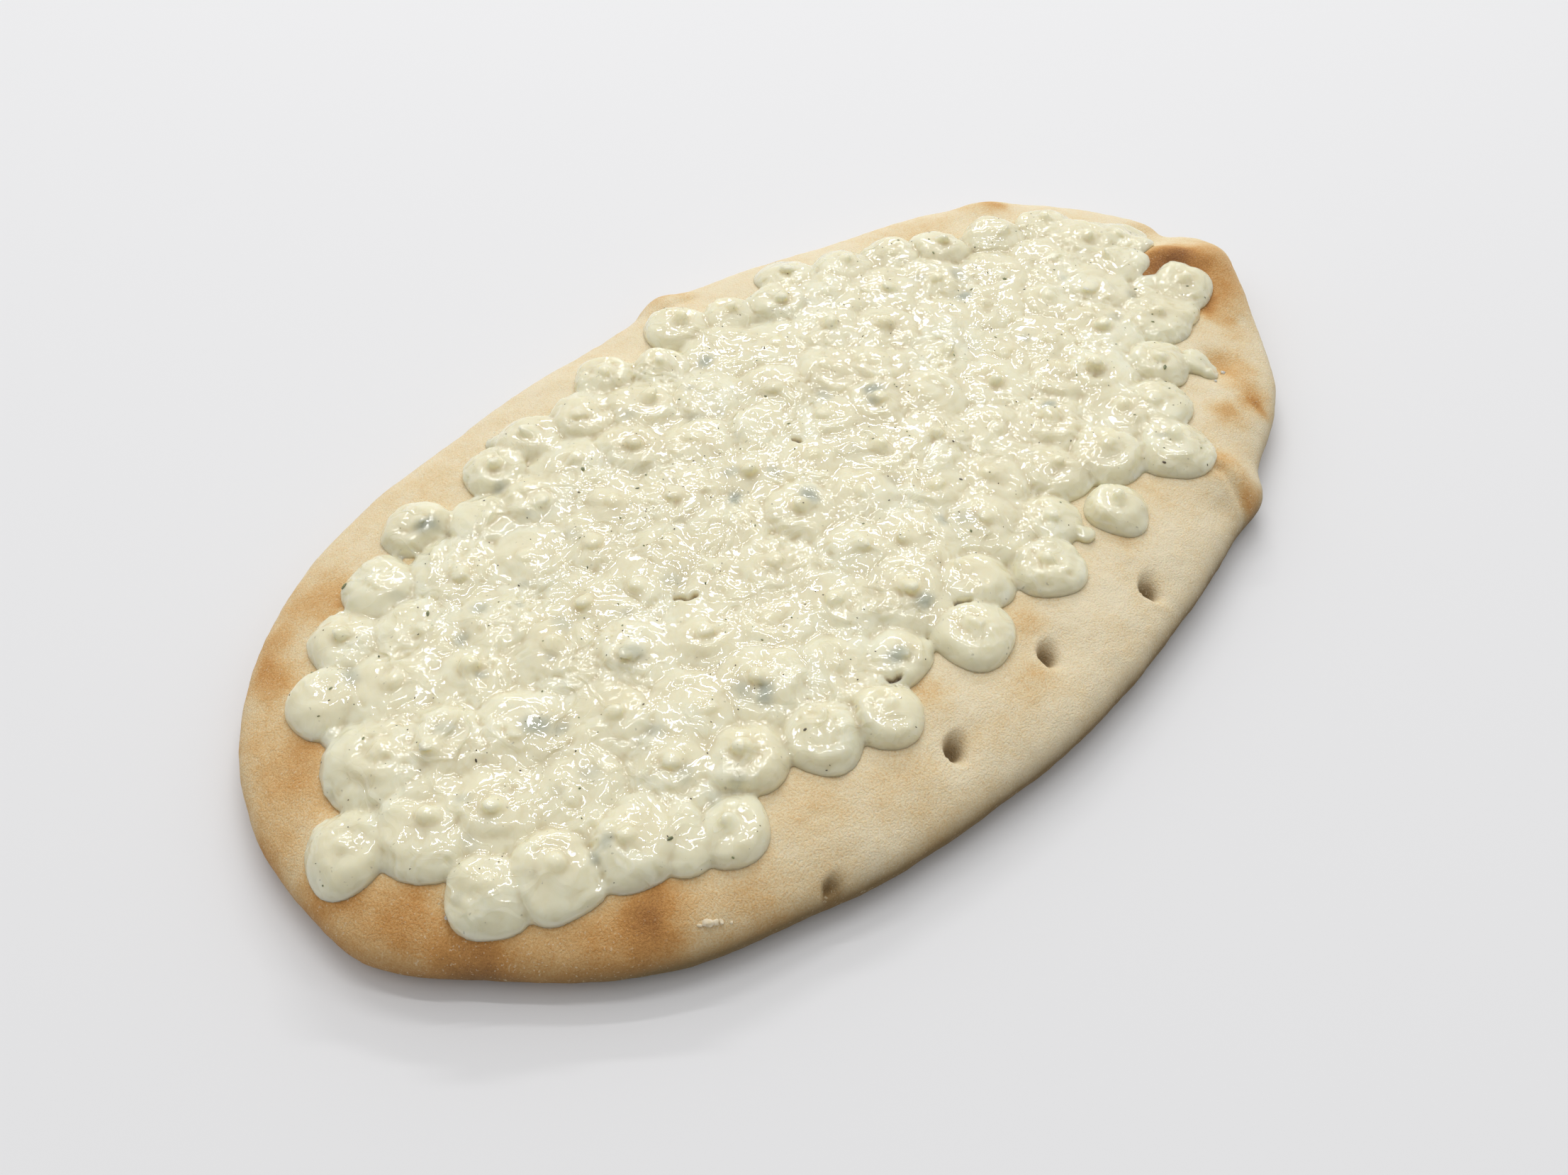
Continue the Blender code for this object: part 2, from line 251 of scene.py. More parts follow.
loaf = bmesh.new()
rolled_skin(loaf, LOAF_SEGMENTS, len(loaf_rings) - 1, loaf_place)
bmesh.ops.recalc_face_normals(loaf, faces=loaf.faces)
loaf.normal_update()
for vert, normal in [(vert, vert.normal.copy()) for vert in loaf.verts]:
    if vert.co.z > 0.6:
        place = vert.co.copy()
        skin = noise.noise(place / 7.0) * 0.22 + noise.noise(place / 2.6) * 0.11
        skin += noise.noise(place / 1.2) * 0.045
        vert.co += normal * skin * min(vert.co.z / 4, 1.0)
loaf_mesh = bpy.data.meshes.new("pita_loaf")
loaf.to_mesh(loaf_mesh)
loaf.free()

# How toasted the crust is here and there: x, y, radius, strength. The spot at 88, -43 is painted shade
# beside the dent there.
TOASTED_SPOTS = (
    (108, -16, 6.5, 0.95), (113, -20, 6.0, 0.60), (114, -28, 15.0, 0.34), (125, -27, 9.0, 0.22),
    (104, -33, 3.4, 0.62), (109, -31, 7.0, 0.30), (103, -39, 2.0, 0.30), (101, -42, 4.0, 0.18),
    (88, -43, 3.4, 0.28), (89, -48, 5.0, 0.36), (86, -52, 5.0, 0.22), (83, -57, 3.6, 0.78),
    (73, -55, 4.4, 0.55), (57, -59, 4.4, 0.42), (60, -65, 4.0, 0.22), (56, -71, 4.2, 0.70),
    (43, -54, 7.0, 0.12), (26, -56, 4.0, 0.22), (-94, 60, 5.0, 0.26), (-90, 52, 6.0, 0.42),
    (-103, 56, 4.0, 0.34), (-109, 52, 4.0, 0.46), (-110, 46, 4.0, 0.36), (-120, 39, 5.0, 0.22),
    (-121, 27, 7.5, 0.34), (-113, 30, 5.0, 0.26), (-119, 17, 4.0, 0.22), (-131, 4, 6.0, 0.40),
    (-128, 2, 4.0, 0.30), (-124, -9, 5.0, 0.28), (-119, -8, 4.0, 0.26), (-126, -17, 6.0, 0.36),
    (-120, -23, 7.0, 0.42), (-122, -27, 7.0, 0.46), (-110, -36, 9.0, 0.38), (-98, -41, 5.0, 0.50),
    (-95, -37, 4.0, 0.30), (-101, -44, 7.0, 0.34), (-130, -6, 8.0, 0.32), (-132, 20, 7.0, 0.30),
    (-92, -43, 4.0, 0.20), (-6, -53, 4.6, 0.30), (-17, -63, 5.0, 0.28), (-33, -50, 4.2, 0.32),
    (-63, -47, 5.0, 0.14), (-50, -59, 8.0, 0.10), (80, 38, 10.0, 0.24), (104, 31, 4.0, 0.50),
    (23, 73, 6.0, 0.34), (-86, -52, 8.0, 0.22), (106, 38, 7.0, 0.24), (127, -4, 5.0, 0.22),
)
toast = np.zeros(len(loaf_mesh.vertices), np.float32)
# Painted shade: the next two masks darken the crust's colour in the docker's holes and folds, and on the
# rim's low wall, most on the near side.
dents = np.zeros(len(loaf_mesh.vertices), np.float32)
edge = np.zeros(len(loaf_mesh.vertices), np.float32)
for vert in loaf_mesh.vertices:
    x, y, z = vert.co
    wander = noise.noise_vector(vert.co / 5.0) * 2.2
    value = 0.03 + 0.12 * smooth_step(0, -125, x) + 0.06 * noise.noise(vert.co / 11.0)
    for sx, sy, radius, strength in TOASTED_SPOTS:
        away = (x + wander.x - sx) ** 2 + (y + wander.y - sy) ** 2
        if away < 6 * radius * radius:
            value += 0.62 * strength * math.exp(-(away / radius**2))
    rim_band = smooth_step(9.5, 2.0, z) * smooth_step(0.2, 3.0, z)
    value += rim_band * (0.12 + 0.12 * smooth_step(-20, -110, x))
    value += 0.32 * smooth_step(1.6, 0.0, z)
    toast[vert.index] = min(value, 1.0)
    dents[vert.index] = smooth_step(0.5, 4.0, crust_marks(x, y)) if z > 4 else 0.0
    near_side = 0.45 + 0.55 * smooth_step(20, -40, y) + smooth_step(-30, -55, y) * smooth_step(95, 30, x)
    edge[vert.index] = smooth_step(10.5, 3.0, z) * near_side
for name, values in (("toast", toast), ("dents", dents), ("edge", edge)):
    loaf_mesh.attributes.new(name, "FLOAT", "POINT").data.foreach_set("value", values)
loaf_mesh.transform(Matrix.Translation(LOAF_SHIFT) @ Matrix.Scale(MM, 4))
loaf_mesh.shade_smooth()
pita_loaf = bpy.data.objects.new("pita_loaf", loaf_mesh)
bpy.context.scene.collection.objects.link(pita_loaf)


def linear(red, green, blue):
    """A colour as a shader takes it, from the 0 to 255 of a screen."""
    shares = [channel / 255 for channel in (red, green, blue)]
    return tuple(c / 12.92 if c <= 0.04045 else ((c + 0.055) / 1.055) ** 2.4 for c in shares) + (1.0,)


def new_material(name):
    material = bpy.data.materials.new(name)
    material.use_nodes = True
    tree = material.node_tree
    return material, tree, tree.nodes["Principled BSDF"]


def noise_node(tree, vector, scale, detail=3.0, roughness=0.5, distortion=0.0):
    made = tree.nodes.new("ShaderNodeTexNoise")
    made.inputs["Scale"].default_value = scale
    made.inputs["Detail"].default_value = detail
    made.inputs["Roughness"].default_value = roughness
    made.inputs["Distortion"].default_value = distortion
    tree.links.new(vector, made.inputs["Vector"])
    return made.outputs["Fac"]


def math_node(tree, operation, first, second):
    made = tree.nodes.new("ShaderNodeMath")
    made.operation = operation
    for socket, value in zip(made.inputs, (first, second)):
        if isinstance(value, (int, float)):
            socket.default_value = value
        else:
            tree.links.new(value, socket)
    return made.outputs[0]


def ramp_node(tree, value, stops):
    made = tree.nodes.new("ShaderNodeValToRGB")
    while len(made.color_ramp.elements) < len(stops):
        made.color_ramp.elements.new(0.5)
    for element, (position, colour) in zip(made.color_ramp.elements, stops):
        element.position = position
        element.color = colour
    tree.links.new(value, made.inputs["Fac"])
    return made.outputs["Color"]


def range_node(tree, value, low, high, to_low=0.0, to_high=1.0):
    made = tree.nodes.new("ShaderNodeMapRange")
    made.inputs["From Min"].default_value = low
    made.inputs["From Max"].default_value = high
    made.inputs["To Min"].default_value = to_low
    made.inputs["To Max"].default_value = to_high
    tree.links.new(value, made.inputs["Value"])
    return made.outputs["Result"]


def mix_node(tree, factor, first, second):
    made = tree.nodes.new("ShaderNodeMix")
    made.data_type = "RGBA"
    for name, value in (("Factor", factor), ("A", first), ("B", second)):
        socket = made.inputs[name]
        if isinstance(value, (int, float, tuple)):
            socket.default_value = value
        else:
            tree.links.new(value, socket)
    return made.outputs["Result"]


def attribute_node(tree, name):
    made = tree.nodes.new("ShaderNodeAttribute")
    made.attribute_name = name
    return made.outputs["Fac"]


crust, tree, shader = new_material("baked_crust")
place = tree.nodes.new("ShaderNodeTexCoord").outputs["Object"]
mottle = noise_node(tree, place, 210.0, 5.0, 0.6)
grain = noise_node(tree, place, 2600.0, 2.0, 0.7)
toast_value = attribute_node(tree, "toast")
toast_value = math_node(tree, "ADD", toast_value, range_node(tree, mottle, 0.35, 0.65, -0.045, 0.045))
toast_value = math_node(tree, "ADD", toast_value, range_node(tree, grain, 0.3, 0.7, -0.10, 0.10))
crust_colour = ramp_node(tree, toast_value, (
    (0.0, linear(243, 229, 196)), (0.14, linear(237, 214, 170)), (0.30, linear(226, 187, 130)),
    (0.50, linear(207, 152, 86)), (0.75, linear(166, 113, 60)), (1.0, linear(114, 71, 40)),
))
# Painted shade on the rim's low wall, strongest on the near side.
at_edge = math_node(tree, "MULTIPLY", attribute_node(tree, "edge"), 0.66)
crust_colour = mix_node(tree, at_edge, crust_colour, linear(128, 106, 68))
# Painted shade in the docker's holes and the crust's folds.
in_dent_shade = math_node(tree, "MULTIPLY", attribute_node(tree, "dents"), 0.7)
crust_colour = mix_node(tree, in_dent_shade, crust_colour, linear(128, 100, 58))
flour = noise_node(tree, place, 1800.0, 1.0, 0.5)
flour = range_node(tree, flour, 0.65, 0.72, 0.0, 0.45)
patches = range_node(tree, noise_node(tree, place, 34.0, 3.0), 0.36, 0.58, 0.25, 1.0)
flour = math_node(tree, "MULTIPLY", flour, patches)
crust_colour = mix_node(tree, flour, crust_colour, linear(240, 228, 198))
tree.links.new(crust_colour, shader.inputs["Base Color"])
tree.links.new(range_node(tree, mottle, 0.3, 0.7, 0.62, 0.8), shader.inputs["Roughness"])
shader.inputs["Specular IOR Level"].default_value = 0.3
shader.inputs["Subsurface Weight"].default_value = 0.08
shader.inputs["Subsurface Radius"].default_value = (0.004, 0.002, 0.001)
shader.inputs["Subsurface Scale"].default_value = 0.3
crust_bump = tree.nodes.new("ShaderNodeBump")
crust_bump.inputs["Strength"].default_value = 1.0
crust_bump.inputs["Distance"].default_value = 0.0003
crumb = math_node(tree, "ADD", grain, math_node(tree, "MULTIPLY", mottle, 0.4))
pores = noise_node(tree, place, 900.0, 2.0, 0.6)
crumb = math_node(tree, "ADD", crumb, math_node(tree, "MULTIPLY", pores, 0.35))
tree.links.new(crumb, crust_bump.inputs["Height"])
tree.links.new(crust_bump.outputs["Normal"], shader.inputs["Normal"])
loaf_mesh.materials.append(crust)
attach(pita_loaf, "root")
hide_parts("bread")

# The cream spread
# Thick yogurt cream with herbs, piped warm in staggered columns of dollops that ran into one sheet.
# Each dollop keeps a swirl round the tip where its nozzle lifted off, and a fat rounded wet edge.

# Columns of dollops: x and y of the first and the last one, how many
COLUMNS = (
    (-123, 7, -123, 7, 1), (-113, -18, -107, 34, 4), (-103, -24, -95, 42, 5), (-91, -30, -83, 48, 6),
    (-78, -41, -68, 55, 7), (-66, -33, -57, 46, 6), (-53, -41, -46, 55, 7), (-42, -47, -35, 56, 8),
    (-30, -40, -23, 52, 7), (-16, -48, -10, 58, 8), (-5, -41, 1, 51, 7), (8, -49, 14, 58, 8),
    (19, -42, 25, 52, 7), (31, -35, 36, 46, 6), (43, -42, 46, 52, 7), (54, -51, 57, 43, 7),
    (63, -41, 68, 37, 6), (76, -35, 79, 29, 5), (90, -26, 91, 22, 4), (102, -8, 104, 15, 3),
    (104, -24, 104, -24, 1), (113, -3, 113, -3, 1),
)
# Small dabs at the sheet's edge: x, y, radius
DABS = ((-40, 63, 2.0), (21, -50, 2.2), (83, -44, 2.6), (-111, 27, 2.4), (108, 9, 3.2))
# Low cream between dollops, where it ran together: x, y, radius, level
RUNS = (
    (96, -25, 8.5, 0.95), (99, -20, 6.5, 0.9), (83.3, -40.5, 4.2, 0.75), (84.2, -43.0, 2.8, 0.6),
    (-85.5, -37.0, 6.0, 0.85), (-83.5, -33.5, 5.0, 0.95),
)
DOLLOP_RADIUS = 9.7
DOLLOP_RADIUS_SPREAD = 0.8
EDGE_RADIUS = 8.4
WANDER = 1.3
SEED = 7
# Rings of a dollop from its tip down: share of the radius, height over the bread
SWIRL_RINGS = (
    (0.0, 5.8), (0.07, 5.7), (0.13, 5.35), (0.165, 4.8), (0.19, 4.25), (0.215, 3.85), (0.26, 3.55),
    (0.33, 3.42), (0.41, 3.4), (0.50, 3.34), (0.58, 3.2), (0.66, 2.95), (0.74, 2.6), (0.81, 2.18),
    (0.87, 1.75), (0.92, 1.3), (0.955, 0.9), (0.975, 0.5), (0.98, 0.15), (0.965, -0.5), (0.6, -0.5),
    (0.25, -0.5), (0.0, -0.5),
)
SWIRL_SIDES = 44
BODY_HEIGHT = 3.3
TIP_REACH = 0.25
# Rings of the low rounds between dollops, in the same way
FILL_RINGS = (
    (0.0, 3.1), (0.4, 3.05), (0.7, 2.7), (0.9, 1.7), (1.0, 0.6), (0.98, -0.5), (0.5, -0.5), (0.0, -0.5),
)
FILL_SIDES = 20
FILL_RADIUS = 11.5
CREAM_VOXEL = 0.46
CREAM_TRIANGLES = 192000
# Gaps between dollops: x and y of the middle, half length, direction
SLITS = (
    (-46.0, -0.4, 1.8, -35), (-12.0, -42.4, 1.3, -40), (1.9, 11.6, 1.0, -85), (-35.0, -43.4, 1.1, -52),
)
SLIT_HALF_WIDTH = 0.5


def add_dollop(shape, x, y, radius, height, rng, curls):
    """One piped dollop with its swirl, and its tip dragged the way its nozzle left."""
    turn = rng.uniform(0, math.pi)
    lean = rng.uniform(0, 2 * math.pi)
    pull = rng.uniform(0.3, 1.0)
    wide, deep = rng.uniform(0.94, 1.06), rng.uniform(0.94, 1.06)
    coil = curls.uniform(0, 2 * math.pi)
    wraps = curls.choice((-1, 1)) * curls.uniform(1.1, 1.8)
    swell = curls.uniform(0.05, 0.38)
    tilt = curls.uniform(0.2, 0.9)
    downhill = curls.uniform(0, 2 * math.pi)
    tip = curls.uniform(0.35, 1.1)
    drag = curls.choice((1.2, 2.0, 3.2, 5.0)) * curls.uniform(0.8, 1.2)
    tip *= 1.0 - 0.06 * drag
    bends = [(curls.uniform(0, 2 * math.pi), curls.uniform(0.015, 0.045)) for _ in range(3)]

    def place(ring, angle):
        reach, rise = SWIRL_RINGS[ring]
        lobes = sum(
            size * math.cos(times * angle + start) for times, (start, size) in enumerate(bends, 2)
        )
        out = radius * reach * (1 + lobes * min(reach / 0.8, 1.0))
        nub = max(rise - BODY_HEIGHT, 0) / 2.5 if reach < TIP_REACH else 0.0
        dragged = pull * drag * nub
        px = x + wide * out * math.cos(angle + turn) + dragged * math.cos(lean)
        py = y + deep * out * math.sin(angle + turn) + dragged * math.sin(lean)
        if rise > 0:
            if reach < TIP_REACH:
                rise = BODY_HEIGHT + (rise - BODY_HEIGHT) * tip
            body = smooth_step(0.18, 0.45, reach) * smooth_step(1.0, 0.80, reach)
            rise += swell * body * math.sin(angle + coil + wraps * 2 * math.pi * reach)
            rise += tilt * reach * math.cos(angle - downhill) * smooth_step(0.0, 2.5, rise)
            rise *= height
        return px, py, bread_top(px, py) + rise

    rolled_skin(shape, SWIRL_SIDES, len(SWIRL_RINGS) - 1, place)


def along(first, last, place, count):
    return first if count == 1 else first + (last - first) * place / (count - 1)


def add_fill(shape, x, y, radius, level):
    """A low round of cream that closes the gaps between dollops."""

    def place(ring, angle):
        reach, rise = FILL_RINGS[ring]
        px, py = x + radius * reach * math.cos(angle), y + radius * reach * math.sin(angle)
        return px, py, bread_top(px, py) + (rise * level if rise > 0 else rise)

    rolled_skin(shape, FILL_SIDES, len(FILL_RINGS) - 1, place)


def apply_modifiers(target):
    bpy.context.view_layer.update()
    graph = bpy.context.evaluated_depsgraph_get()
    made = bpy.data.meshes.new_from_object(target.evaluated_get(graph))
    target.modifiers.clear()
    target.data = made


def merge_dollops(target, voxel, rounds):
    """Runs overlapping dollops together into one skin."""
    merge = target.modifiers.new("merge", "REMESH")
    merge.mode = "VOXEL"
    merge.voxel_size = voxel
    soften = target.modifiers.new("soften", "SMOOTH")
    soften.factor = 0.5
    soften.iterations = rounds
    apply_modifiers(target)


def vector_array(source, name):
    """A vector of each vertex, as rows of x, y and z."""
    values = np.zeros(len(source) * 3, np.float32)
    source.foreach_get(name, values)
    return values.reshape(-1, 3).astype(float)


def run_flow(mesh, strength):
    """Moves the skin in and out along the lines in which the cream flowed, in millimetres."""
    places = vector_array(mesh.vertices, "co")
    normals = vector_array(mesh.vertex_normals, "vector")
    for index in range(len(places)):
        facing = normals[index][2]
        if facing < 0.05:
            continue
        spot = Vector(places[index])
        flow = spot + noise.noise_vector(spot / 6.5) * 3.4 + noise.noise_vector(spot / 2.4) * 0.7
        lumps = noise.noise(flow / 4.6) * 0.45
        ridges = (0.40 - abs(noise.noise(flow / 2.3 + Vector((31.0, 7.0, 3.0))))) * 0.50
        veins = (0.4 - abs(noise.noise(flow / 1.3 + Vector((5.0, 17.0, 9.0))))) * 0.12
        calm = 0.3 + 0.7 * smooth_step(-0.15, 0.25, noise.noise(spot / 9.0 + Vector((3.0, 3.0, 3.0))))
        moved = (lumps + (ridges + veins) * calm) * strength * smooth_step(0.05, 0.75, facing)
        places[index] += normals[index] * moved
    mesh.vertices.foreach_set("co", places.astype(np.float32).ravel())
    mesh.update()


def slit_depth(x, y):
    """How far a place lies in a gap where neighbouring dollops didn't quite meet, from 0 to 1."""
    depth = 0.0
    bend = noise.noise_vector(Vector((x, y, 0.0)) / 2.2) * 0.9
    x, y = x + bend.x, y + bend.y
    for mid_x, mid_y, half, lean in SLITS:
        turn = math.radians(lean)
        run_x, run_y = half * math.cos(turn), half * math.sin(turn)
        away = segment_distance(x, y, (mid_x - run_x, mid_y - run_y), (mid_x + run_x, mid_y + run_y))
        depth = max(depth, math.exp(-((away / SLIT_HALF_WIDTH) ** 2)))
    return depth


def open_slits(mesh):
    places = vector_array(mesh.vertices, "co")
    for index, (x, y, z) in enumerate(places):
        above = z - bread_top(x, y)
        if above > 0.4:
            places[index][2] -= (above - 0.3) * 0.75 * slit_depth(x, y)
    mesh.vertices.foreach_set("co", places.astype(np.float32).ravel())
    mesh.update()


def neighbour_mean(mesh, values, rounds):
    """Each vertex's value, blended with its neighbours' a number of times."""
    edges = np.zeros(len(mesh.edges) * 2, np.int32)
    mesh.edges.foreach_get("vertices", edges)
    first, second = edges.reshape(-1, 2).T
    count = np.bincount(first, minlength=len(values)) + np.bincount(second, minlength=len(values))
    for _ in range(rounds):
        total = np.bincount(first, values[second], len(values))
        total += np.bincount(second, values[first], len(values))
        values = 0.5 * values + 0.5 * total / np.maximum(count, 1)
    return values


rng = random.Random(SEED)
curls = random.Random(19)
dollops = bmesh.new()
fills = []
for x_first, y_first, x_last, y_last, count in COLUMNS:
    for step in range(count):
        at_edge = step in (0, count - 1)
        wander = 0.3 * WANDER if at_edge else WANDER
        middle_x = along(x_first, x_last, step, count) + rng.uniform(-wander, wander)
        middle_y = along(y_first, y_last, step, count) + rng.uniform(-wander, wander)
        radius = (EDGE_RADIUS if at_edge else DOLLOP_RADIUS) + rng.uniform(-1, 1) * DOLLOP_RADIUS_SPREAD
        height = rng.uniform(0.85, 1.12)
        add_dollop(dollops, middle_x, middle_y, radius, height, rng, curls)
        if not at_edge:
            fills.append((middle_x, middle_y, FILL_RADIUS, curls.uniform(0.92, 1.1)))
for x, y, radius in DABS:
    add_dollop(dollops, x, y, radius, radius / EDGE_RADIUS + 0.2, rng, curls)
for fill in [*fills, *RUNS]:
    add_fill(dollops, *fill)
bmesh.ops.recalc_face_normals(dollops, faces=dollops.faces)
cream_mesh = bpy.data.meshes.new("piped_cream")
dollops.to_mesh(cream_mesh)
dollops.free()
piped_cream = bpy.data.objects.new("piped_cream", cream_mesh)
bpy.context.scene.collection.objects.link(piped_cream)
merge_dollops(piped_cream, CREAM_VOXEL, 3)
run_flow(piped_cream.data, 1.0)
open_slits(piped_cream.data)
triangles = sum(len(face.vertices) - 2 for face in piped_cream.data.polygons)
if triangles > CREAM_TRIANGLES:
    thin = piped_cream.modifiers.new("thin", "DECIMATE")
    thin.ratio = CREAM_TRIANGLES / triangles
    apply_modifiers(piped_cream)
cream_mesh = piped_cream.data

# Bits of cucumber lie under the skin of the cream and tint it: x, y, length
CUCUMBER = (
    (-86, -1, 4.2), (-67, 52, 3.4), (-10, -2, 4.0), (-31, -41, 3.6), (-54, -28, 3.4), (-17, -37, 3.0),
    (24, 8, 3.6), (-20, 10, 3.0), (99, 25, 3.0), (46, -24, 3.0), (8, 44, 3.0), (66, 13, 3.0),
)
SMALL_BITS = 60
heights = vector_array(cream_mesh.vertices, "co")
hollow = neighbour_mean(cream_mesh, heights[:, 2], 14) - heights[:, 2]
hollow = np.clip(hollow / 0.55, -1, 1)
bits = [(x, y, length * 0.62, 0.85) for x, y, length in CUCUMBER]
for _ in range(SMALL_BITS):
    column = curls.choice([column for column in COLUMNS if column[4] > 3])
    share = curls.uniform(0.02, 0.98)
    bit_x = column[0] + (column[2] - column[0]) * share + curls.uniform(-7, 7)
    bit_y = column[1] + (column[3] - column[1]) * share
    bits.append((bit_x, bit_y, curls.uniform(0.9, 2.4), curls.uniform(0.15, 0.6)))
tint = np.zeros(len(heights))
for bit_x, bit_y, radius, strength in bits:
    turn = curls.uniform(0, math.pi)
    dx, dy = heights[:, 0] - bit_x, heights[:, 1] - bit_y
    across = dx * math.cos(turn) + dy * math.sin(turn)
    down = dy * math.cos(turn) - dx * math.sin(turn)
    reach = (np.abs(across) / radius) ** 3 + (np.abs(down) / (0.7 * radius)) ** 3
    tint = np.maximum(tint, strength * np.exp(-reach * 0.7))
edge_tint = np.array([smooth_step(1.6, 0.1, z - bread_top(x, y)) for x, y, z in heights])
# Painted shade and bread colour at the bottom of the gaps between dollops.
slit_bread_and_shade = np.array([
    slit_depth(x, y) * smooth_step(2.6, 0.8, z - bread_top(x, y)) for x, y, z in heights
])
for name, values in (("hollow", hollow), ("cucumber", tint), ("foot", edge_tint), ("slit", slit_bread_and_shade)):
    cream_mesh.attributes.new(name, "FLOAT", "POINT").data.foreach_set("value", values.astype(np.float32))
cream_mesh.transform(Matrix.Translation(LOAF_SHIFT) @ Matrix.Scale(MM, 4))
cream_mesh.shade_smooth()

herb_cream, tree, shader = new_material("herb_cream")
place = tree.nodes.new("ShaderNodeTexCoord").outputs["Object"]
clouds = noise_node(tree, place, 95.0, 4.0, 0.55, 0.6)
cream_colour = ramp_node(tree, clouds, (
    (0.30, linear(234, 226, 194)), (0.50, linear(240, 233, 202)), (0.72, linear(244, 240, 214)),
))
# Painted shade in the cream's hollows, around the tips and between dollops.
painted_hollow_shade = range_node(tree, attribute_node(tree, "hollow"), 0.08, 0.8, 0.0, 0.6)
cream_colour = mix_node(tree, painted_hollow_shade, cream_colour, linear(210, 193, 144))
under_skin = math_node(tree, "MULTIPLY", attribute_node(tree, "cucumber"), 0.8)
cream_colour = mix_node(tree, under_skin, cream_colour, linear(150, 160, 148))
at_foot = math_node(tree, "MULTIPLY", attribute_node(tree, "foot"), 0.3)
cream_colour = mix_node(tree, at_foot, cream_colour, linear(222, 204, 160))
# Painted shade at the bottom of the gaps between dollops, over the bread's colour that shows there.
cream_colour = mix_node(tree, attribute_node(tree, "slit"), cream_colour, linear(120, 92, 54))
dust = noise_node(tree, place, 1100.0, 1.0, 0.5)
dust = range_node(tree, dust, 0.73, 0.78, 0.0, 0.4)
cream_colour = mix_node(tree, dust, cream_colour, linear(150, 146, 120))
tree.links.new(cream_colour, shader.inputs["Base Color"])
tree.links.new(range_node(tree, clouds, 0.3, 0.7, 0.04, 0.08), shader.inputs["Roughness"])
shader.inputs["Specular IOR Level"].default_value = 0.85
shader.inputs["Subsurface Weight"].default_value = 1.0
shader.inputs["Subsurface Radius"].default_value = (0.004, 0.0037, 0.003)
shader.inputs["Subsurface Scale"].default_value = 0.8
# Low ripples drawn out by the flow, calm in some places and on the tips
drift = tree.nodes.new("ShaderNodeTexNoise")
drift.inputs["Scale"].default_value = 120.0
drift.inputs["Detail"].default_value = 1.0
tree.links.new(place, drift.inputs["Vector"])
drawn = tree.nodes.new("ShaderNodeVectorMath")
drawn.operation = "MULTIPLY_ADD"
drawn.inputs[1].default_value = (0.012, 0.012, 0.012)
tree.links.new(drift.outputs["Color"], drawn.inputs[0])
tree.links.new(place, drawn.inputs[2])
drawn = drawn.outputs[0]


def crease_node(scale, width, height):
    """Thin rounded creases along the lines where a smooth noise crosses its middle."""
    away = math_node(tree, "SUBTRACT", noise_node(tree, drawn, scale, 0.0), 0.5)
    return range_node(tree, math_node(tree, "ABSOLUTE", away, 0.0), 0.0, width, height, 0.0)


ripples = noise_node(tree, drawn, 160.0, 0.0)
relief = math_node(tree, "ADD", crease_node(120.0, 0.08, 0.17), crease_node(240.0, 0.06, 0.035))
relief = math_node(tree, "ADD", ripples, relief)
calm = range_node(tree, noise_node(tree, place, 75.0, 1.0), 0.40, 0.57, 0.25, 1.0)
on_tip = range_node(tree, attribute_node(tree, "hollow"), -0.8, -0.35, 0.2, 1.0)
cream_bump = tree.nodes.new("ShaderNodeBump")
tree.links.new(math_node(tree, "MULTIPLY", calm, on_tip), cream_bump.inputs["Strength"])
cream_bump.inputs["Distance"].default_value = 0.0013
tree.links.new(relief, cream_bump.inputs["Height"])
tree.links.new(cream_bump.outputs["Normal"], shader.inputs["Normal"])
cream_mesh.materials.clear()
cream_mesh.materials.append(herb_cream)
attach(piped_cream, "root")
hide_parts("cream_spread")

# The dollop on its own
# One dollop missed the sheet and lies on bare crust by its lower edge, rounder and plumper than the
# rest.
LONE_DOLLOP = (31, -51.5, 7.3)
LONE_VOXEL = 0.4
lone = bmesh.new()
add_dollop(lone, *LONE_DOLLOP, 1.0, random.Random(SEED), random.Random(8))
bmesh.ops.recalc_face_normals(lone, faces=lone.faces)
lone_mesh = bpy.data.meshes.new("lone_dollop")
lone.to_mesh(lone_mesh)
lone.free()
lone_dollop = bpy.data.objects.new("lone_dollop", lone_mesh)
bpy.context.scene.collection.objects.link(lone_dollop)
merge_dollops(lone_dollop, LONE_VOXEL, 6)
run_flow(lone_dollop.data, 0.9)
lone_mesh = lone_dollop.data
lone_mesh.transform(Matrix.Translation(LOAF_SHIFT) @ Matrix.Scale(MM, 4))
lone_mesh.shade_smooth()
lone_mesh.materials.clear()
lone_mesh.materials.append(herb_cream)
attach(lone_dollop, "root")
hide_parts("cream_dollop")

# The herbs and the pepper
# Dried herb and ground pepper are stirred through the cream. The grains show where they reach its
# skin.
cream_skin = BVHTree.FromPolygons(
    [vert.co for vert in cream_mesh.vertices], [face.vertices for face in cream_mesh.polygons],
)
